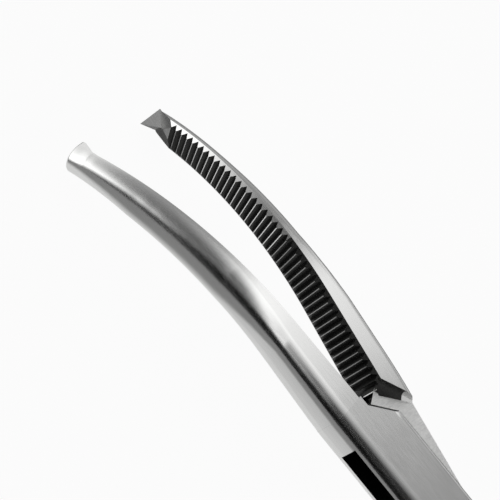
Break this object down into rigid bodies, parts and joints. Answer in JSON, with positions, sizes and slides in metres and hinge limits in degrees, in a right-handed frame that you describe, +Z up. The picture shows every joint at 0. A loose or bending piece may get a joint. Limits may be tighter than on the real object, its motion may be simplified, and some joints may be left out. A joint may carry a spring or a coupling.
{
  "type": "hemostat forceps",
  "caption": "Curved box-lock forceps with cross-serrated jaws, interlocking teeth at the tips, a ratchet and oval finger rings, that clamps vessels or tissue.",
  "frame": {"origin": "centre of the bounding box at its bottom, on the table the instrument lies on", "axes": "+Y along the instrument from the rings to the tips, +Z up from the table through the convex side of the jaws, the box arm's jaw at -X"},
  "size_m": [0.083, 0.1582, 0.0105],
  "materials": {
    "arm_steel": "satin",
    "pin_steel": "satin"
  },
  "bodies": {
    "box_arm": {"box_arm": "arm_steel", "pivot_pin": "pin_steel"},
    "through_arm": {"through_arm": "arm_steel"}
  },
  "joints": [
    {"name": "box_lock", "type": "hinge", "parent": "box_arm", "child": "through_arm", "pos_m": [0, 0.0213, 0.00686], "axis": [0, 0.0488, -0.9988], "range_deg": [-13.2, 35]}
  ]
}
